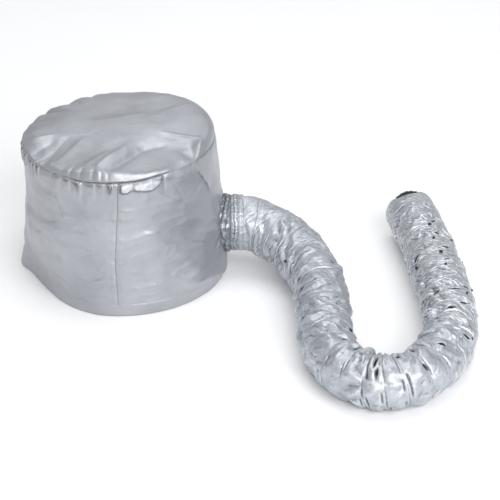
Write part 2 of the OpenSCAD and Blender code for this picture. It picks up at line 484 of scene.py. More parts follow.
def gathers(turn, seed):
    """Humps between pinched breaks: how high, 0 to 1, and how wide in turns."""
    turn = turn % 1
    n = np.clip(np.searchsorted(BREAKS, turn, side="right") - 1, 0, len(BREAKS) - 2)
    width = BREAKS[n + 1] - BREAKS[n]
    rng = np.random.default_rng(seed)
    lean, size = rng.uniform(0.55, 1.8, len(BREAKS)), rng.uniform(0.35, 1.25, len(BREAKS))
    size = np.where(BREAKS < 0.5, 0.9, size)
    place = np.clip((turn - BREAKS[n]) / width, 0, 1) ** lean[n]
    return np.sin(math.pi * place) ** 0.75 * size[n], width


def gather_strength(turn):
    angles, strengths = zip(*GATHER)
    return np.interp((turn % 1) * 360, angles, strengths)


def side_of(turn, centre, spread):
    """1 at an angle in degrees, falling smoothly to 0 at `spread` degrees from it."""
    away = np.abs((turn * 360 - centre + 180) % 360 - 180)
    return smooth(spread, 0, away)


def soft_min(a, b, k):
    """The lower of two heights, with the crease where they meet rounded to about k."""
    h = np.clip(0.5 + 0.5 * (b - a) / k, 0, 1)
    return b + (a - b) * h - k * h * (1 - h)


def memory_creases(points, seed):
    """Faint sharp creases that coated cloth keeps after it has been folded."""
    bent = warped(points, 8 * MM, 0.05, seed + 3)
    coarse = 0.4 - np.abs(noise(bent, (0.05, 0.05, 0.032), seed))
    fine = 0.4 - np.abs(noise(bent, (0.022, 0.022, 0.012), seed + 1))
    return (1.7 * coarse + 0.9 * fine) * MM


def fold(x, y, start, end, width, height, lean=0.0):
    """A crease in a surface: a ridge from start to end that leans to one side."""
    (ax, ay), (bx, by) = start, end
    length = math.hypot(bx - ax, by - ay)
    ux, uy = (bx - ax) / length, (by - ay) / length
    along = ((x - ax) * ux + (y - ay) * uy) / length
    off = ((y - ay) * ux - (x - ax) * uy) / width
    off = off * np.where(off > 0, 1 + lean, 1 - lean)
    ends = smooth(-0.15, 0.3, along) * smooth(1.2, 0.7, along)
    return height * np.exp(-np.abs(off) ** 1.5) * ends


# How steeply the crown leaves the seam: angle from +X, rise over run
FLANK = [(0, 1.6), (180, 1.3), (200, 0.7), (219, 0.55), (232, 1.5), (255, 1.7), (270, 1.8),
         (300, 1.8), (309, 0.6), (324, 0.55), (338, 1.2), (360, 1.6)]
# How far the seam is lifted off its level, angle and mm, as the gathers pull it
SEAM_LIFT = [(0, 7), (60, 4), (150, 4), (185, 7), (208, 5), (226, 3.4), (239, 2), (251, -0.5),
             (262, 0.5), (284, 2), (294, 5), (303, 6.5), (328, 7), (345, 7.5), (360, 7)]
# How far the front seam wanders sideways: height, mm
WANDER = [(0, 2.5), (25, 1.5), (80, -0.5), (150, 5), (190, 7)]


def around_table(turn, table, soft=0.008):
    """A value from a table of angles, softened over a part of a turn."""
    angles, values = zip(*table)
    return sum(np.interp(((turn + d) % 1) * 360, angles, values) for d in (-soft, 0, soft)) / 3


def lifted(turn, z):
    """How far a place on the wall is lifted with the seam above it."""
    return around_table(turn, SEAM_LIFT) * MM * smooth(0.55, 1, z / SEAM_Z)


def wander(turn, z):
    """Sideways drift of the front seam, in turns."""
    heights, shifts = zip(*WANDER)
    return np.interp(z / MM, heights, shifts) * MM / (TAU * RIM_R) * side_of(turn, 270, 50)


# Creases of the crown: start, end (x, y), width, height and lean, in millimetres
CROWN_FOLDS = [
    ((-6, -118), (36, -58), 7, -3.6, 0),
    ((30, -62), (64, -46), 7, -2.2, 0),
    ((-24, -112), (18, -54), 8, 3.2, 0.4),
    ((-44, -108), (-6, -74), 9, 2.4, 0.4),
    ((-122, -30), (-82, -23), 2.8, 1.6, 0.4),
    ((-114, -60), (-80, -36), 8, -2.2, 0.3),
    ((-96, -84), (-66, -34), 9, -1.8, 0.3),
    ((-80, -92), (-44, -40), 7, 1.8, 0.4),
    ((60, -24), (108, -36), 2.6, 2.0, 0),
    ((106, -32), (109, -74), 4, 3.0, 0.3),
    ((96, -46), (100, -84), 6, -2.0, 0),
    ((84, -60), (88, -90), 4, 1.4, 0.3),
    ((74, -60), (100, -80), 5, 1.2, 0.3),
    ((-40, 10), (0, 44), 20, -2.2, 0),
    ((-30, 0), (40, 24), 9, 1.2, 0.5),
    ((-98, 60), (-40, 70), 12, 2.2, 0.3),
    ((20, 60), (70, 80), 16, 1.8, 0.3),
    ((-20, 110), (10, 60), 10, 2.0, 0.4),
    ((50, 20), (96, 50), 8, 1.6, 0.4),
]

# Creases of the side wall: start, end (degrees from +X, height in mm), width, height and lean
WALL_FOLDS = [
    ((-54, 36), (-8, 12), 18, 8.5, -0.4),
    ((-58, 50), (-44, 58), 5, 1.6, -0.4),
    ((-92, 38), (-50, 44), 5, 1.0, 0.4),
    ((-38, 96), (-14, 72), 9, 2.6, 0.3),
    ((-62, 112), (-36, 84), 8, 0.8, 0.3),
    ((-36, 178), (-24, 140), 5, 2.8, -0.4),
    ((-56, 176), (-44, 132), 6, 1.6, 0.4),
    ((-66, 168), (-52, 150), 4, 1.2, 0.4),
    ((-76, 120), (-60, 104), 5, 0.9, 0.4),
    ((-146, 95), (-138, 102), 2, -1.5, 0.3),
    ((-132, 121), (-124, 128), 2, -1.2, 0.3),
    ((-135, 62), (-123, 72), 2.5, -1.6, 0.4),
    ((-116, 76), (-101, 94), 3, -1.1, 0.4),
    ((-134, 19), (-124, 28), 2.5, -1.4, 0.3),
    ((-152, 50), (-140, 60), 3, -1.2, 0.3),
    ((-164, 140), (-150, 80), 6, 1.4, 0.4),
    ((-112, 150), (-98, 120), 7, 1.2, 0.4),
    ((-128, 168), (-120, 130), 6, 1.5, 0.4),
    ((40, 40), (80, 70), 6, -2.6, 0.4),
    ((30, 130), (70, 100), 5, 2.2, 0.5),
    ((80, 150), (110, 90), 7, 2.0, 0.4),
    ((110, 60), (150, 40), 5, -2.4, 0.4),
    ((130, 130), (170, 100), 6, 2.2, 0.5),
    ((150, 70), (172, 30), 6, 2.0, 0.4),
]


# How far the soft rim is pushed in or out of round where it stands: angle, mm
RIM = [(0, 0), (160, 0), (172, 1.5), (180, 2), (184, -5), (190, -14), (200, -19), (208, -20),
       (220, -19.5), (237, -11), (250, -4), (262, 0), (360, 0)]


def rim_push(turn, z):
    return around_table(turn, RIM, 0.006) * MM * smooth(100 * MM, 0, z) ** 1.2


def seam_groove(turn, radius):
    """The two upright seams, at the front and at the back, pull the cloth in a little."""
    depth = 0
    for at in (0.25, 0.75):
        arc = turns_from(turn, at) * TAU * radius
        depth = depth - 0.18 * MM * np.exp(-(arc / (1.1 * MM)) ** 2)
        depth = depth + 0.35 * MM * np.exp(-((np.abs(arc) - 5 * MM) / (3.5 * MM)) ** 2)
    return depth


# The lip of cloth below the seam, right of the front: share of its width, how low it hangs
LIP = [(-0.1, 9), (0, 10.5), (0.05, 12.5), (0.14, 13.5), (0.2, 12.5), (0.25, 10), (0.33, 10.8),
       (0.5, 13), (0.66, 15), (0.74, 14.5), (0.82, 11), (0.92, 5), (1.05, 2)]


def lip(turn, below):
    """The lip of cloth that hangs over below the seam: a sharp left edge and two lobes."""
    place = (turn * 360 - 271) / 27
    places, drops = zip(*LIP)
    drop = sum(np.interp(place + d, places, drops) for d in (-0.02, 0, 0.02)) / 3
    there = smooth(-0.02, 0.03, place) * smooth(1.02, 0.9, place)
    pillow = 1 - 0.3 * np.exp(-((place - 0.26) / 0.05) ** 2)
    return 6.4 * MM * there * pillow * (below / drop) ** 0.8 * smooth(drop + 3.2, drop - 0.6, below)


# Millimetres of wall to a degree round the hood, halfway up
WALL_DEGREE = TAU * 136 / 360


def wall_folds(turn, z):
    """The placed creases of the side wall."""
    x = ((turn * 360 + 180) % 360 - 180) * WALL_DEGREE
    total = 0
    for (a0, z0), (a1, z1), *shape in WALL_FOLDS:
        start, end = (a0 * WALL_DEGREE, z0), (a1 * WALL_DEGREE, z1)
        total = total + fold(x, z / MM, start, end, *shape) * MM
    return total


def port_puckers(flat):
    """The ring of puckers where the wall is drawn in by the collar's stitches."""
    y, z = flat[..., 1], flat[..., 2] - INLET_Z
    beside = (flat[..., 0] > 0) * np.exp(-((np.hypot(y, z) - PUCKERS) / (9 * MM)) ** 2)
    pull = np.sin(np.arctan2(z, y) * 21 + 3 * noise(flat, (0.03,) * 3, 5))
    return beside * (1.2 + 0.8 * pull) * MM


def wall_points(turn, z):
    """The outer surface of the side panels."""
    angle = TAU * (turn + wander(turn, z))
    radius = RIM_R + (SEAM_R - RIM_R) * z / SEAM_Z
    flat = np.stack([radius * np.cos(angle), radius * np.sin(angle), z], -1)
    hump, width = gathers(turn, 2)
    strength = gather_strength(turn)
    below = (SEAM_Z - z) / MM
    reach = 10 + 400 * width
    puff = (1 - np.exp(-below / 3)) * np.exp(-(below / reach) ** 2)
    out = 6.2 * MM * strength * hump * puff
    out += lip(turn, below)
    out -= 0.8 * MM * np.exp(-below / 1.4)
    out += seam_groove(turn, radius)
    rise = np.sin(math.pi * z / SEAM_Z)
    out -= 4.0 * MM * side_of(turn, 180, 70) * rise
    out += 2.5 * MM * side_of(turn, 0, 60) * rise
    out += wall_folds(turn, z)
    out += 1.1 * MM * cloudy(flat, (0.07, 0.07, 0.05), 3)
    out += memory_creases(flat, 30)
    ripples = noise(flat, (0.05, 0.05, 0.011), 21)
    out += 0.45 * MM * ripples * (0.5 + side_of(turn, 200, 80))
    out += port_puckers(flat)
    out *= smooth(-0.5 * MM, 14 * MM, z) * 0.8 + 0.2
    out += rim_push(turn, z)
    radius = radius + out
    return np.stack([radius * np.cos(angle), radius * np.sin(angle), z + lifted(turn, z)], -1)


def crown_shape(turn, share, x, y, inside):
    """The crown without its folds: a dome behind, and a tilted flat top at the front."""
    dome = 0.93 * (TOP_Z - SEAM_Z) / MM * (1 - share ** 6.5)
    across, depth = x / MM, y / MM
    steep = around_table(turn, FLANK)
    plateau = 13 + 0.14 * (depth + 116) - 11 * smooth(0, 95, np.abs(across + 7))
    tilted = soft_min(steep * inside, np.maximum(plateau, 1.5), 0.8 + 9 * smooth(1.3, 0.6, steep))
    front = smooth(25, -70, depth)
    return SEAM_Z + (dome + (tilted - dome) * front) * MM


def crown_points(turn, share):
    """The outer surface of the crown; share runs from 0 at its centre to 1 at the seam."""
    angle = TAU * turn
    radius = SEAM_R * share
    x, y = radius * np.cos(angle), radius * np.sin(angle)
    inside = (SEAM_R - radius) / MM
    z = crown_shape(turn, share, x, y, inside)
    flat = np.stack([x, y, z], -1)
    hump, width = gathers(turn, 3)
    strength = gather_strength(turn) * (1 - 0.8 * side_of(turn, 204, 30))
    back = side_of(turn, 140, 60)
    reach = 10 + 480 * width * (0.25 + 0.75 * back)
    puff = (1 - np.exp(-inside / 3.5)) * np.exp(-(inside / reach) ** 2)
    up = (2.8 + 9.5 * back) * MM * strength * (hump - 0.35 - 0.15 * back) * puff
    shoulder = np.sin(math.pi * share ** 5)
    up += (8.0 * side_of(turn, 30, 75) + 1.0 * side_of(turn, 95, 50)) * MM * shoulder
    up -= 6.5 * MM * side_of(turn, 150, 60) * smooth(0.35, 0.85, share) * smooth(1.02, 0.85, share)
    for shape in CROWN_FOLDS:
        up += fold(x / MM, y / MM, *shape) * MM * smooth(1.0, 0.93, share)
    up += 1.2 * MM * cloudy(flat, (0.06, 0.06, 0.06), 8) * smooth(1.0, 0.9, share)
    up += 0.6 * memory_creases(flat, 90) * smooth(1.0, 0.93, share)
    up -= 0.6 * MM * np.exp(-inside / 1.4)
    bulge = (1.0 + 4.5 * side_of(turn, 30, 90)) * MM * np.sin(math.pi * share ** 9)
    out = 0.3 * up * share ** 4 + bulge
    up += around_table(turn, SEAM_LIFT) * MM * share ** 9
    return np.stack([x + out * np.cos(angle), y + out * np.sin(angle), z + up], -1)


def make_walls(cloth):
    rows = 140
    heights = SEAM_Z * np.linspace(0, 1, rows)
    for name, first, node in (("side_left", 0.25, "side_panel_left"),
                              ("side_right", 0.75, "side_panel_right")):
        columns = ROUND // 2 + 1
        z, turn = spread(heights, first + np.linspace(0, 0.5, columns))
        points = wall_points(turn, z)
        # Painted shade in the wall's creases, mostly left off below the lip at the front seam
        creases = smooth(0.08, 0.9, -sheet_creases(points, 2, 3))
        under_lip = (side_of(turn, 285, 16) > 0) * (z > 190 * MM)
        creases *= 1 - 0.85 * under_lip
        tuck = smooth(CASING_H, CASING_H - 1 * MM, z)[..., None] * 0.9 * MM
        points[..., :2] *= 1 - tuck / RIM_R
        faces = grid_faces(rows, columns, False)
        if name == "side_right":
            faces = [f for f in faces if not in_port(points.reshape(-1, 3)[f].mean(0))]
        piece = thicken(new_object(name, points, faces, cloth), CLOTH)
        keep_creases(piece, creases)
        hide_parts(node)
        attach(piece, "hood")


def in_port(point):
    """Whether a point lies in the hole for the air."""
    return point[0] > 0 and math.hypot(point[1], point[2] - INLET_Z) < PORT_HOLE


def disc_grid(rings):
    """A square grid laid on a disc: turn and share of each point, and its quads."""
    side = 2 * rings + 1
    u, v = np.meshgrid(np.linspace(-1, 1, side), np.linspace(-1, 1, side))
    ring = np.maximum(np.abs(u), np.abs(v))
    safe = np.where(ring == 0, 1, ring)
    east = np.abs(u) >= np.abs(v)
    angle = np.where(east, (v / safe) * math.pi / 4 * np.sign(u),
                     math.pi / 2 - (u / safe) * math.pi / 4 * np.sign(v))
    angle = np.where(east & (u < 0), angle + math.pi, angle)
    angle = np.where(~east & (v < 0), angle + math.pi, angle)
    return (angle / TAU) % 1, ring, grid_faces(side, side, False)


def make_crown(cloth):
    turn, share, faces = disc_grid(CROWN_RINGS)
    points = crown_points(turn, share)
    piece = thicken(new_object("crown", points, faces, cloth), CLOTH)
    # Painted shade in the crown's creases
    keep_creases(piece, smooth(0.2, 1.8, sheet_creases(points, 2, 2)))
    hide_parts("crown_panel")
    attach(piece, "hood")


def radial(turn):
    """The level direction away from the hood's axis."""
    return np.stack([np.cos(TAU * turn), np.sin(TAU * turn), 0 * turn], -1)


def rim_rows(turn, section):
    """Rows of points round the rim, from a section: height and depth under the wall, in mm."""
    return np.stack([wall_points(turn, np.full(len(turn), z * MM)) - radial(turn) * inside * MM
                     for z, inside in section])


def make_hem(cloth):
    """The casing at the rim: it turns under at the floor and up again inside."""
    turn = round_turns(ROUND)
    points = rim_rows(turn, (
        (17.4, 0.6), (16.6, 0.25), (16.0, 0), (15, -0.04), (6, 0), (2, 0.1), (0.8, 0.4),
        (0.4, 1.2), (0.4, 4.0), (0.9, 5.2), (6, 5.4), (15, 5.6)))
    ripple = 0.25 * MM * noise(points, (0.008, 0.008, 0.02), 77)
    points += radial(turn)[None] * ripple[..., None]
    piece = new_object("hem", points, grid_faces(len(points), ROUND, True), cloth)
    thicken(piece, 0.4 * MM)
    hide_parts("hem_casing")
    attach(piece, "hood")


def make_hem_elastic(elastic):
    """The elastic tape in the casing, which follows the rim as it lies."""
    rows = rim_rows(round_turns(ROUND),
                    ((2.4, 2.2), (10.4, 2.2), (10.4, 3.4), (2.4, 3.4), (2.4, 2.2)))
    faces = grid_faces(len(rows), ROUND, True, flip=True)
    piece = new_object("hem_tape", rows, faces, elastic)
    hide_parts("hem_elastic")
    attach(piece, "hood")


def normals_of(function, turn, other):
    """Outward unit normals of a surface given by a function of two numbers."""
    step = 1e-4
    a = function(turn + step, other) - function(turn - step, other)
    b = function(turn, other + step) - function(turn, other - step)
    return unit(np.cross(a, b))


def hood_seam(name, node, turn, z, length, gap, radius, material):
    """A line of stitches on the wall along the given turns and heights."""
    line = wall_points(turn, z)
    centres, alongs = spaced(line, length + gap)
    runs = np.linspace(0, 1, len(turn))
    n = np.linspace(0, 1, len(centres))
    outs = normals_of(wall_points, np.interp(n, runs, turn), np.interp(n, runs, z))
    thread_of(stitches(name, centres, alongs, outs, length, radius, material), node, "hood")


def make_hood_seams(thread, dark, pale):
    fine = np.linspace(0, 1, 2400)
    level = np.ones_like(fine)
    hood_seam("crown_stitches", "crown_seam_thread", fine, level * (SEAM_Z - 0.7 * MM),
              3.0 * MM, 1.0 * MM, 0.3 * MM, dark)
    hood_seam("hem_stitches", "hem_thread", fine, level * (CASING_H - 3 * MM),
              2.8 * MM, 1.0 * MM, 0.14 * MM, pale)
    up = np.linspace(CASING_H, SEAM_Z - 3 * MM, 600)
    for name, node, at in (("front_stitches", "front_seam_thread", 0.75),
                           ("back_stitches", "back_seam_thread", 0.25)):
        hood_seam(name, node, at + 0 * up, up, 2.4 * MM, 0.8 * MM, 0.16 * MM, thread)


# --- Inlet collar -----------------------------------------------------------------------

def round_inlet(x, radius, turn):
    """Points round the inlet's axis."""
    return np.stack([x + 0 * turn, radius * np.cos(TAU * turn),
                     INLET_Z + radius * np.sin(TAU * turn)], -1)


def wall_x(y, z):
    """How far out the wall's cone is at a point beside the port."""
    radius = RIM_R + (SEAM_R - RIM_R) * z / SEAM_Z
    return np.sqrt(np.maximum(radius ** 2 - y ** 2, 0))


def collar_points(turn, share, x_from, x_to, bulges, height, seed):
    """A gathered sleeve round the inlet's axis; it is pinched in where it is stitched."""
    angle = TAU * turn
    drift = 0.02 * np.sin(TAU * turn * 3 + seed) + 0.009 * np.sin(TAU * turn * 7 + seed)
    pleat = np.abs(np.sin(math.pi * bulges * (turn + drift) + seed)) ** 0.6
    belly = np.sin(math.pi * np.clip(share, 0, 1)) ** 0.6
    around = np.stack([share * 0.01, HOSE_R * np.cos(angle), HOSE_R * np.sin(angle)], -1)
    uneven = noise(around, (0.05, 0.012, 0.012), seed + 1)
    ripple = 1 - np.abs(np.sin(math.pi * (2.4 * share + 0.5 * uneven + 0.25 * pleat)))
    radius = 36.2 + 0.8 * belly + height * pleat * (0.15 + 0.85 * belly) * (1 + 0.5 * uneven)
    radius += belly * (0.8 - 1.7 * ripple ** 2)
    crinkle = 0.5 - 2 * np.abs(noise(around, (0.02, 0.006, 0.006), seed))
    radius = (radius + 0.7 * belly * crinkle) * MM
    y, z = radius * np.cos(angle), INLET_Z + radius * np.sin(angle)
    start = wall_x(y, z) - 1.5 * MM if x_from is None else x_from + 0 * turn
    x = start + (x_to - start) * share
    return np.stack([x, y, z], -1)


def make_collar(cloth, film, thread):
    middle, pieces = COLLAR_MIDDLE, []
    for name, x_from, x_to, bodies, shape, span, wide, look in (
            ("collar_inner", None, middle + 0.3 * MM, ("hood", "inlet"), (13, 2.2, 1),
             (138, 147), 0.019, cloth),
            ("collar_outer", middle - 0.3 * MM, HOSE_X + 1.0 * MM, ("inlet", "hose"), (31, 0.8, 4),
             (150, 159), 0.013, film)):
        rows, columns = 26, 432
        share, turn = spread(np.linspace(0, 1, rows), round_turns(columns))
        points = collar_points(turn, share, x_from, x_to, *shape)
        faces = grid_faces(rows, columns, True, flip=True)
        piece = thicken(new_object(name, points, faces, look), 0.5 * MM)
        # Painted shade in the collar's creases
        keep_creases(piece, smooth(0.05, 0.6, -sheet_creases(points, 2, 2)))
        start, end = (np.array([x, 0, INLET_Z / MM]) * MM for x in span)
        pieces.append((piece, bodies, start, end, wide))
    for piece, bodies, start, end, wide in pieces:
        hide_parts("inlet_collar")
        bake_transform(piece)
    ring = round_inlet(middle, COLLAR_SEAM, np.linspace(0, 1, 1200))
    line = ring_of_stitches("collar_stitches", ring, np.array([middle, 0, INLET_Z]),
                            3.4 * MM, 2.6 * MM, 0.4 * MM, thread)
    thread_of(line, "collar_thread", "inlet")
    return [piece for piece, *_ in pieces] + [line]


def make_port_stitches(thread):
    """Stitches that join the collar to the wall, round its foot."""
    turn = np.linspace(0, 1, 1200)
    _, y, z = round_inlet(0, PORT_SEAM, turn).T
    turns = np.arctan2(y, wall_x(y, z)) / TAU
    line = wall_points(turns, z)
    centres, alongs = spaced(line, 3.6 * MM)
    outs = unit(centres * np.array([1, 1, 0]))
    piece = stitches("port_stitches", centres, alongs, outs, 2.6 * MM, 0.28 * MM, thread)
    thread_of(piece, "port_seam_thread", "hood")


# --- Hose -------------------------------------------------------------------------------

def route_curve(steps):
    """The smooth curve through the route's points."""
    last = len(ROUTE) - 1
    points = []
    for i in range(last):
        a, b, c, d = ROUTE[max(i - 1, 0)], ROUTE[i], ROUTE[i + 1], ROUTE[min(i + 2, last)]
        for k in range(steps):
            u = k / steps
            points.append((2 * b + (c - a) * u + (2 * a - 5 * b + 4 * c - d) * u * u
                           + (3 * b - a - 3 * c + d) * u ** 3) / 2)
    return np.array(points + [ROUTE[-1]])


STEPS = 24
GUIDE = route_curve(STEPS)
RUNS = distances_along(GUIDE)
HOSE_L = RUNS[-1]
HEADINGS = np.gradient(GUIDE, RUNS, axis=0)
HEADINGS[0] = (1, 0, 0)
HEADINGS = unit(HEADINGS)
# How the heading changes along the route, averaged over a few places
AVERAGE = 25
BENDS = np.stack([
    np.convolve(np.pad(g, AVERAGE // 2, mode="edge"), np.ones(AVERAGE) / AVERAGE, mode="valid")
    for g in np.gradient(HEADINGS, RUNS, axis=0).T], -1)
END_DIRECTION = unit(ROUTE[-1] - ROUTE[-2])


# Distances at which the wire helix passes the same side of the hose, in mm: the turns are
# close together in the bend and drawn apart on both arms
CROSSINGS = np.array([
    -6, 28, 61, 94, 127, 160, 193, 226, 258, 290, 320, 350, 378, 403, 424, 440, 457, 481, 505,
    535, 568, 596, 626, 654, 686, 719, 753, 792, 830, 868, 905, 943,
]) * MM
CROSSING_SIDE = 0.4

# How the film lies along the hose, in mm: distance, radius at the wire, billow between the
# turns, crushing, fine crinkling and how deep it is drawn in beside the wire
FILM = [
    (0, 36.4, 0.3, 0.4, 0.7, 0.4), (25, 36.4, 0.6, 0.6, 1.3, 0.6),
    (110, 35.8, 0.9, 0.8, 1.4, 0.8), (150, 34.4, 1.6, 1.1, 1.2, 1.6),
    (250, 33.6, 2.1, 1.2, 1.1, 2.0), (350, 32.0, 2.8, 1.1, 0.9, 2.3),
    (430, 30.9, 3.6, 0.8, 0.5, 2.8), (540, 31.4, 3.3, 0.85, 1.0, 2.6),
    (640, 33.0, 2.0, 1.1, 1.8, 1.9), (760, 33.8, 1.2, 1.0, 2.0, 1.5),
    (880, 34.2, 0.9, 0.8, 1.9, 1.0), (918, 35.0, 0.2, 0.2, 1.2, 0.1),
]

# Folds pinched into the film: distance and side, depth, and their reach along (mm) and round
PINCHES = [
    (144, 0.445, 6, 2.0, 0.04), (150, 0.43, 3, 1.5, 0.03), (191, 0.425, 5, 2.5, 0.03),
    (209, 0.44, 4, 2.0, 0.04), (364, 0.185, 6, 5.0, 0.03), (379, 0.16, 4, 2.5, 0.05),
    (393, 0.20, 4, 2.0, 0.04), (431, 0.28, 6, 1.7, 0.05), (434, 0.35, 5, 1.7, 0.04),
    (426, 0.38, 3, 3.0, 0.03), (460, 0.205, 6, 3.5, 0.03), (485, 0.20, 4, 2.5, 0.03),
    (505, 0.19, 4, 2.0, 0.04), (540, 0.15, 4, 2.0, 0.05), (350, 0.9, 4, 3.0, 0.05),
    (480, 0.02, 4, 2.5, 0.05), (250, 0.52, 3, 2.5, 0.05), (700, 0.1, 2, 2.0, 0.04),
]


def pick(table, s):
    """A row of a table kept at the route's places, at any distance along the hose."""
    return np.stack([np.interp(s, RUNS, table[:, k]) for k in range(3)], -1)


def turns_at(s):
    """How many turns the wire has made at a distance along the hose."""
    n = np.arange(len(CROSSINGS)) + CROSSING_SIDE
    return sum(np.interp(s + d * MM, CROSSINGS, n) for d in (-8, -4, 0, 4, 8)) / 5


def hose_frame(s, turn):
    """The centre, the heading and the outward direction at a place on the hose."""
    centre, heading = pick(GUIDE, s), unit(pick(HEADINGS, s))
    centre = centre - sag(s)[..., None] * np.array([0, 0, 1])
    across = unit(np.cross(np.array([0.0, 0, 1]), heading))
    up = np.cross(heading, across)
    angle = TAU * turn[..., None]
    return centre, heading, np.cos(angle) * across + np.sin(angle) * up


def film_lie(s):
    """The columns of FILM at a distance along the hose."""
    places, *columns = np.array(FILM).T
    return [np.interp(s / MM, places, column) for column in columns]


def sag(s):
    """How far a thinner stretch of the hose sinks, so that it still rests on the floor."""
    base, billow, *_ = film_lie(s)
    return np.maximum(LIE - base - 0.8 * billow, 0) * MM * smooth(0.12, 0.18, s)


def straightened(s, turn):
    """A place on the hose, as if the hose were straight."""
    return np.stack([s, HOSE_R * np.cos(TAU * turn), HOSE_R * np.sin(TAU * turn)], -1)


def folds(s, turn, twist, cell, seed):
    """Sharp folds that wind round the hose; twist is in turns per metre of length."""
    bent = warped(straightened(s, turn + twist * s), 3 * MM, 0.02, seed + 5)
    return 0.6 - 2 * np.abs(noise(bent, np.array(cell) * MM, seed))


# The film's folds: wavelength along the hose (mm), folds round it, height in mm
FOLD_WAVES = [(52, 3, 4.0), (43, -4, 3.8), (60, 6, 2.8), (31, -6, 2.2), (24, 7, 1.6), (70, -9, 1.5),
              (14, 6, 0.8), (13, -7, 0.8), (8, 4, 0.4), (7, -3, 0.35)]


def crushing(s, turn):
    """The film's crushed facets, in mm: straight folds that cross, with sharp creases."""
    rolled = straightened(s, turn)
    lean = smooth(-0.2, 0.2, noise(rolled, (0.04, 0.03, 0.03), 91))
    total = 0
    for n, (wavelength, around, height) in enumerate(FOLD_WAVES):
        bend = 0.55 * noise(rolled, (0.035,) * 3, 61 + n) + 0.12 * noise(rolled, (0.011,) * 3, 81 + n)
        phase = s / MM / wavelength + around * turn + bend + 0.37 * n
        there = np.clip(0.75 + 0.9 * noise(rolled, (0.03,) * 3, 101 + n), 0.1, 1.4)
        there = there * (0.15 + 1.15 * (lean if around > 0 else 1 - lean))
        total = total + height * there * (2 * np.abs(phase - np.floor(phase) - 0.5) - 0.5)
    return total - 0.6


def cuff_peak(turn):
    """Where the cuff's mouth stands up above the end of the film, 0 to 1."""
    return np.exp(-((turn - 0.21) / 0.065) ** 2)


def pinched(s, turn):
    """How deep the film is pinched in, in mm."""
    depths = 0
    for distance, side, depth, reach, round_reach in PINCHES:
        off = turns_from(turn, side) / round_reach
        depths = depths + depth * np.exp(-((s / MM - distance) / reach) ** 2 - off ** 2)
    return depths


def wire_marks(past_wire, notch, spot, inner):
    """How the film stands over the wire and is drawn in on both sides of it, in mm."""
    deep = smooth(-0.1, 0.6, noise(spot, (0.02,) * 3, 43) + inner)
    shallow = smooth(0.1, 0.7, noise(spot, (0.016,) * 3, 44) + inner)
    ahead = notch * deep * np.exp(-((past_wire - 2.8) / 0.9) ** 2)
    behind = 0.8 * notch * shallow * np.exp(-((past_wire + 2.8) / 0.9) ** 2)
    return (0.5 + 0.4 * deep) * np.exp(-(past_wire / 1.3) ** 2) - ahead - behind


# The least and the most that the film may stand from the hose's centre line, in mm
FILM_LIMITS = 28.5, 40


def film_radius(s, turn):
    """The outer film's distance from the hose's centre line."""
    base, billow, crush, crinkle, notch = film_lie(s)
    centre, _, out = hose_frame(s, turn)
    inner = np.clip(np.sum(pick(BENDS, s) * out, -1) * HOSE_R, 0, 0.8)
    spot = centre + HOSE_R * out
    wound = turns_at(s)
    share = (wound - turn) % 1
    pitch = 1 * MM / (turns_at(s + 0.5 * MM) - turns_at(s - 0.5 * MM))
    past_wire = pitch * np.where(share < 0.5, share, share - 1) / MM
    hump = np.sin(math.pi * share) ** 0.6
    swell = 1 + 0.5 * noise(spot, (0.024,) * 3, 41)
    r = base + billow * swell * hump * (1 + 0.5 * inner)
    r += crush * np.maximum(hump, 0.1) * crushing(s, turn) * (1 + 0.4 * inner)
    peel = folds(s, turn, 5.5, (16, 5, 5), 71) + 0.6 * folds(s, turn, -1.0, (5, 7, 7), 72)
    r += 0.38 * crinkle * peel * np.maximum(hump, 0.35)
    r += wire_marks(past_wire, notch, spot, inner)
    r -= pinched(s, turn) + 1.2 * shaded_dips(s, turn)
    end = smooth(0, 14 * MM, HOSE_L - s)
    r = r * end + (1 - end) * (35.0 - 1.8 * cuff_peak(turn) + 0.4 * peel)
    return np.clip(r, *FILM_LIMITS) * MM


def hose_surface(s, turn):
    """The outer film, flattened where it lies on the floor; its heading and outward direction."""
    centre, heading, out = hose_frame(s, turn)
    points = centre + film_radius(s, turn)[..., None] * out
    floor = 0.3 * MM
    points[..., 2] = floor + np.maximum(points[..., 2] - floor, 0)
    return points, heading, out


# Where the film has worn through to the wire: distance in mm, side in turns, length in mm
WORN = [(825, 0.26, 4.5), (787, 0.25, 3.0), (748, 0.26, 4.5), (714, 0.26, 3.5), (783, 0.94, 3.5),
        (726, 0.07, 3.5), (641, 0.36, 2.5), (567, 0.43, 3.5), (625, 0.46, 3), (618, 0.09, 2.5),
        (144, 0.44, 2.5), (690, 0.46, 3), (760, 0.45, 3), (800, 0.6, 4), (850, 0.75, 4),
        (700, 0.7, 4), (640, 0.62, 3), (600, 0.8, 4), (740, 0.85, 3)]
# Small dips in the film with painted shade, dark crescents: distance in mm, side in turns, half
# length in mm
SHADED_DIPS = [(838, 0.30, 5), (798, 0.28, 4), (806, 0.42, 4), (761, 0.30, 5.5), (725, 0.285, 5),
        (757, 0.10, 7), (690, 0.13, 5), (655, 0.27, 11), (650, 0.16, 5), (668, 0.37, 6),
        (622, 0.33, 7), (600, 0.25, 6), (585, 0.15, 5), (560, 0.38, 6), (520, 0.30, 5),
        (480, 0.36, 6), (190, 0.44, 9), (222, 0.40, 6), (255, 0.10, 7), (290, 0.42, 7),
        (325, 0.08, 8), (815, 0.62, 6), (860, 0.70, 6), (700, 0.80, 7), (665, 0.90, 7),
        (600, 0.70, 8)]


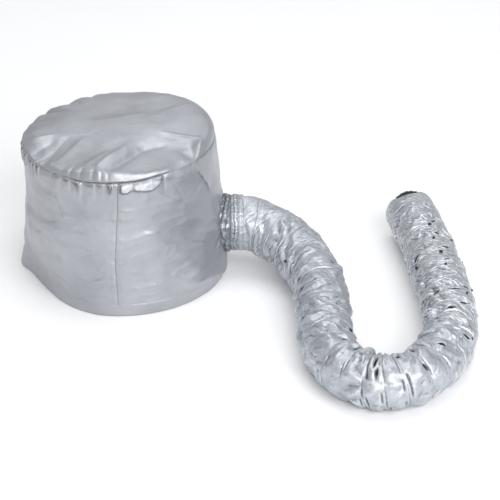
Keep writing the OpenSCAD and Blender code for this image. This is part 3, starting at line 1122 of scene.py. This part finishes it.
def shaded_dips(s, turn):
    """Painted shade in small dips of the film, 0 to 1: dark crescents with thin ends."""
    dark = np.zeros_like(s * turn)
    for distance, side, reach in SHADED_DIPS:
        away = turns_from(turn, side) * TAU * HOSE_R / MM
        reach = 1.2 * reach
        width = 2.1 * np.clip(1 - (away / reach) ** 2, 0.05, 1)
        crescent = np.exp(-((s / MM - distance - 0.17 * away) / width) ** 2)
        dark = np.maximum(dark, crescent * (np.abs(away) < reach))
    return dark


# How far the film's ragged end reaches past the hose's end: side in turns, mm
OVERHANG = [(0, 8), (0.10, 7.5), (0.13, 4), (0.16, 0.5), (0.25, 0), (0.28, 2), (0.31, 6), (0.35, 8),
            (0.43, 8), (0.46, 4), (0.5, 1.5), (0.6, 3), (0.7, 6), (0.85, 4), (0.95, 7), (1, 8)]


def film_creases(s, turn, heights):
    """How creased the film is, 0 to 1, for painted shade in its creases, pinches and dips, and how
    far its ridges stand up, in mm, for painted highlights on them.
    """
    fine, nearby = blurred(heights, 2, 1) - heights, blurred(heights, 5, 2) - heights
    creases = np.maximum(0.75 * smooth(0.04, 0.3, fine), smooth(0.2, 1.2, nearby))
    creases = 0.7 * np.maximum(creases, smooth(0.8, 4.0, blurred(heights, 14, 7) - heights))
    # Painted shade in the deep pinches and in the dips
    creases += 0.3 * smooth(2.5, 4.5, pinched(s, turn))
    return np.maximum(creases, smooth(0.1, 0.6, shaded_dips(s, turn))), -fine


def film_end(turn, heading, out):
    """The film's ragged end, turned in over the cuff: rows of points."""
    centre = hose_frame(np.full_like(turn, HOSE_L), turn)[0]
    overhang = np.interp(turn, *zip(*OVERHANG))
    rows = []
    for share, ahead, radius in ((0.5, 0.2, 35.2), (1, 0.5, 35.2), (1, 0.8, 34.9), (1, 0.5, 34.6),
                                 (0.1, 0.3, 34.3), (0, 0.3, 33.4), (0, -3, 32.0), (0, -14, 31.6)):
        along = (overhang * share + ahead)[..., None] * MM
        radius = radius - 1.6 * cuff_peak(turn)[..., None] * (radius > 33)
        rows.append(centre + heading * along + out * radius * MM)
    return rows


# Painted highlights on the film's ridges are faint near the hood and grow past the bend: from here,
# and fully from there
RIDGE_HIGHLIGHT_SPAN = 480 * MM, 620 * MM


def make_hose_film(film):
    rows, columns = 1400, 180
    s, turn = spread(np.linspace(0, HOSE_L, rows), round_turns(columns))
    points, heading, out = hose_surface(s, turn)
    points = np.concatenate([points] + film_end(turn[-1:], heading[-1:], out[-1:]))
    tube = new_object("hose_film", points, grid_faces(len(points), columns, True), film)
    # Painted shade in the film's creases and dips
    creases, ridges = film_creases(s, turn, film_radius(s, turn) / MM)
    keep_creases(tube, creases)
    # Painted highlights on the film's sharp ridges, stronger past the bend
    ridge_highlight_share = 0.3 + 0.7 * smooth(*RIDGE_HIGHLIGHT_SPAN, s)
    keep_creases(tube, smooth(0.03, 0.22, ridges) * ridge_highlight_share, "ridge")
    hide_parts("hose_outer_film")
    return tube


def make_lining(black):
    rows, columns = 480, 40
    s, turn = spread(np.linspace(1 * MM, HOSE_L - 1 * MM, rows), round_turns(columns))
    centre, _, out = hose_frame(s, turn)
    share = (turns_at(s) - turn) % 1
    radius = (LINING_R - 0.7 * np.sin(math.pi * share)) * MM
    lining = new_object("hose_lining", centre + radius[..., None] * out,
                        grid_faces(rows, columns, True), black)
    thicken(lining, 0.4 * MM)
    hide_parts("hose_inner_film")
    return lining


def helix(per_turn):
    """Places along the wire: distance and side of the hose, at steps of the helix."""
    first, last = turns_at(np.array([WIRE_END, HOSE_L - WIRE_END]))
    wound = np.linspace(first, last, int((last - first) * per_turn))
    fine = np.linspace(0, HOSE_L, 6000)
    return np.interp(wound, turns_at(fine), fine), wound % 1


def make_wire(material):
    """The black wire helix. It shows where it wears through the film on the far arm."""
    sides = 8
    s, turn = helix(160)
    centre, heading, out = hose_frame(s, turn)
    bare = 0
    for distance, side, length in WORN:
        away = np.abs(turns_from(turn, side)) * TAU * HOSE_R / MM
        near = np.abs(s / MM - distance) < 17
        bare = np.maximum(bare, smooth(0.5 * length + 1.6, 0.5 * length - 0.8, away) * near)
    reach = film_radius(s, turn) + (-2.4 + 2.9 * bare) * MM
    thick = (0.9 + 1.2 * bare) * MM
    line = centre + reach[:, None] * out
    line[:, 2] = np.maximum(line[:, 2], 1.6 * MM)
    points = []
    for k in range(sides):
        a = TAU * k / sides
        points.append(line + thick[:, None] * (math.cos(a) * out + math.sin(a) * heading))
    points = np.stack(points, 1)
    faces = grid_faces(len(line), sides, True, flip=True)
    faces.append(list(range(sides)))
    faces.append(list(range((len(line) - 1) * sides, len(line) * sides))[::-1])
    piece = new_object("hose_wire_line", points, faces, material)
    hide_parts("hose_wire")
    return piece


def make_hose_stitches(thread):
    """The stitched channel that holds the wire, as beads of thread along its helix."""
    s, turn = helix(400)
    line, _, _ = hose_surface(s, turn)
    step = 3.7 * MM
    centres, alongs = spaced(line, step)
    places = (np.arange(len(centres)) + 0.5) * step
    at = np.interp(places, distances_along(line), np.arange(len(s)))
    _, _, outs = hose_frame(np.interp(at, np.arange(len(s)), s), turn[np.round(at).astype(int)])
    shown = centres[:, 2] > 1.5 * MM
    piece = stitches("hose_stitches", centres[shown], alongs[shown], outs[shown],
                     2.7 * MM, 0.42 * MM, thread)
    return piece


def make_band(film, thread):
    """The turned band that holds the hose in the collar."""
    columns = 288
    turn = round_turns(columns)
    ring = 0.25 * MM * np.sin(TAU * turn * 23) + 0.2 * MM * np.sin(TAU * turn * 41 + 1)
    rows = []
    for x, r in ((0.2, -2.4), (0, -1.2), (0.4, -0.4), (1.6, 0.1), (2.6, -0.35), (3.0, -0.4),
                 (3.4, -0.35), (4.4, 0.1), (5.6, -0.4), (6.2, -1.2), (6.0, -2.4)):
        rows.append(round_inlet(HOSE_X + x * MM, BAND_R + r * MM + ring, turn))
    faces = grid_faces(len(rows), columns, True, flip=True)
    band = thicken(new_object("band", np.stack(rows), faces, film), 0.4 * MM)
    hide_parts("collar_band")
    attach(band, "hose")
    x = HOSE_X + 3 * MM
    line = round_inlet(x, BAND_R - 0.3 * MM, np.linspace(0, 1, 1000))
    piece = ring_of_stitches("band_stitches", line, np.array([x, 0, INLET_Z]),
                             3.4 * MM, 2.5 * MM, 0.35 * MM, thread)
    thread_of(piece, "band_thread", "hose")
    return [band, piece]


# --- Cuff -------------------------------------------------------------------------------

def cuff_place(along, radius, turn):
    """A point at a distance past the hose's end, round its axis."""
    across = np.cross((0, 0, 1), END_DIRECTION)
    up = np.cross(END_DIRECTION, across)
    out = np.cos(TAU * turn)[..., None] * across + np.sin(TAU * turn)[..., None] * up
    return ROUTE[-1] + along[..., None] * END_DIRECTION + radius[..., None] * out


def make_cuff(black, thread):
    """A black sleeve whose mouth is rolled outward over an elastic."""
    columns = 320
    turn = round_turns(columns)
    gather = np.abs(np.sin(math.pi * 31 * turn + 0.6 * np.sin(TAU * 3 * turn))) ** 0.8
    rows = []
    for along, radius, loose in (
            (-40, 27.6, 0), (-30, 27.6, 0.1), (-16, 27.6, 0.2), (-6, 27.6, 0.4), (0, 27.6, 0.6),
            (4.5, 27.7, 0.7), (6.3, 28.4, 0.8), (7.2, 29.6, 0.9), (7.4, 31.2, 1.0),
            (6.8, 32.3, 1.0), (5.4, 32.9, 1.0), (3.2, 33.0, 0.9), (0.7, 32.7, 0.7)):
        at = along * MM + 0.35 * MM * loose * gather * (along > 2)
        rolled = radius > 29
        reach = (radius + (0.55 * loose * (gather - 0.5) + 2.0 * cuff_peak(turn)) * rolled) * MM
        rows.append(cuff_place(at + 0 * turn, reach + 0 * turn, turn))
    faces = grid_faces(len(rows), columns, True)
    cuff = thicken(new_object("cuff", np.stack(rows), faces, black), 0.6 * MM)
    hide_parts("dryer_cuff")
    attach(cuff, "cuff")
    fine, back = np.linspace(0, 1, 1000), 3 * MM
    line = cuff_place(0 * fine - back, 0 * fine + 28.0 * MM, fine)
    piece = ring_of_stitches("cuff_stitches", line, ROUTE[-1] - back * END_DIRECTION,
                             3.4 * MM, 2.4 * MM, 0.3 * MM, thread)
    thread_of(piece, "cuff_thread", "cuff")
    return [cuff, piece]


# --- Stage ------------------------------------------------------------------------------

def area_light(name, place, target, size, power):
    data = bpy.data.lights.new(name, "AREA")
    data.shape = "RECTANGLE"
    data.size, data.size_y = size
    data.energy = power
    light = bpy.data.objects.new(name, data)
    bpy.context.collection.objects.link(light)
    light.location = place
    aim = Vector(target) - Vector(place)
    light.rotation_euler = aim.to_track_quat("-Z", "Y").to_euler()


def make_stage():
    reach = 6
    floor = new_object("floor", [(-reach, -reach, 0), (reach, -reach, 0), (reach, reach, 0),
                                 (-reach, reach, 0)], [(0, 1, 2, 3)], studio_floor("floor"))
    floor.location.z = -0.4 * MM
    world = bpy.data.worlds.new("studio")
    world.use_nodes = True
    bpy.context.scene.world = world
    background = world.node_tree.nodes["Background"]
    background.inputs["Color"].default_value = (0.95, 0.97, 1.0, 1)
    background.inputs["Strength"].default_value = 0.45
    middle = (0.15, -0.05, 0.08)
    area_light("key", (1.15, -2.45, 1.7), middle, (2.8, 2.0), 68)
    area_light("top", (0.2, 0.3, 2.2), middle, (1.8, 1.4), 14)
    area_light("back", (0.3, 3.4, 2.6), (0.2, 2.4, 0), (4.0, 1.2), 10)
    bpy.context.scene.view_settings.view_transform = "Standard"
    bpy.context.scene.view_settings.exposure = 0.27


# --- The object -------------------------------------------------------------------------

def main():
    make_camera()
    cloth = coated_cloth("silver_cloth", (0.43, 0.438, 0.47), (0.365, 0.37, 0.40), 0.38, 0.65)
    gathered = coated_cloth("collar_cloth", (0.34, 0.36, 0.385), (0.21, 0.23, 0.25), 0.3, 0.8)
    film = metal_film("film", (0.51, 0.53, 0.565), (0.39, 0.41, 0.445), 0.47)
    lining = coated_cloth("black_film", (0.02, 0.02, 0.022), (0.012, 0.012, 0.014), 0.4, 0.0)
    black = knitted("black_cuff", (0.012, 0.012, 0.014), 900)
    thread = plain_thread("silver_thread", (0.42, 0.43, 0.46), 0.45)
    dark = plain_thread("grey_thread", (0.15, 0.15, 0.16))
    soft = plain_thread("seam_thread", (0.33, 0.335, 0.355), 0.5)
    wire = coated_wire("wire")
    elastic = knitted("elastic", (0.62, 0.60, 0.55), 700)

    tube, *inside = [make_hose_film(film), make_lining(lining), make_wire(wire),
                     make_hose_stitches(thread)]
    on_hose = inside + make_band(film, thread) + make_cuff(black, dark)
    make_crown(cloth)
    make_walls(cloth)
    make_hem(cloth)
    make_hood_seams(soft, dark, thread)
    on_hose += make_collar(gathered, film, dark)
    make_port_stitches(dark)
    make_hem_elastic(elastic)
    cuff_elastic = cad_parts["cuff_elastic"]
    cuff_elastic.data.materials.clear()
    cuff_elastic.data.materials.append(elastic)
    on_hose.append(cuff_elastic)

    for piece in [tube] + inside:
        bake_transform(piece)
    make_stage()


main()
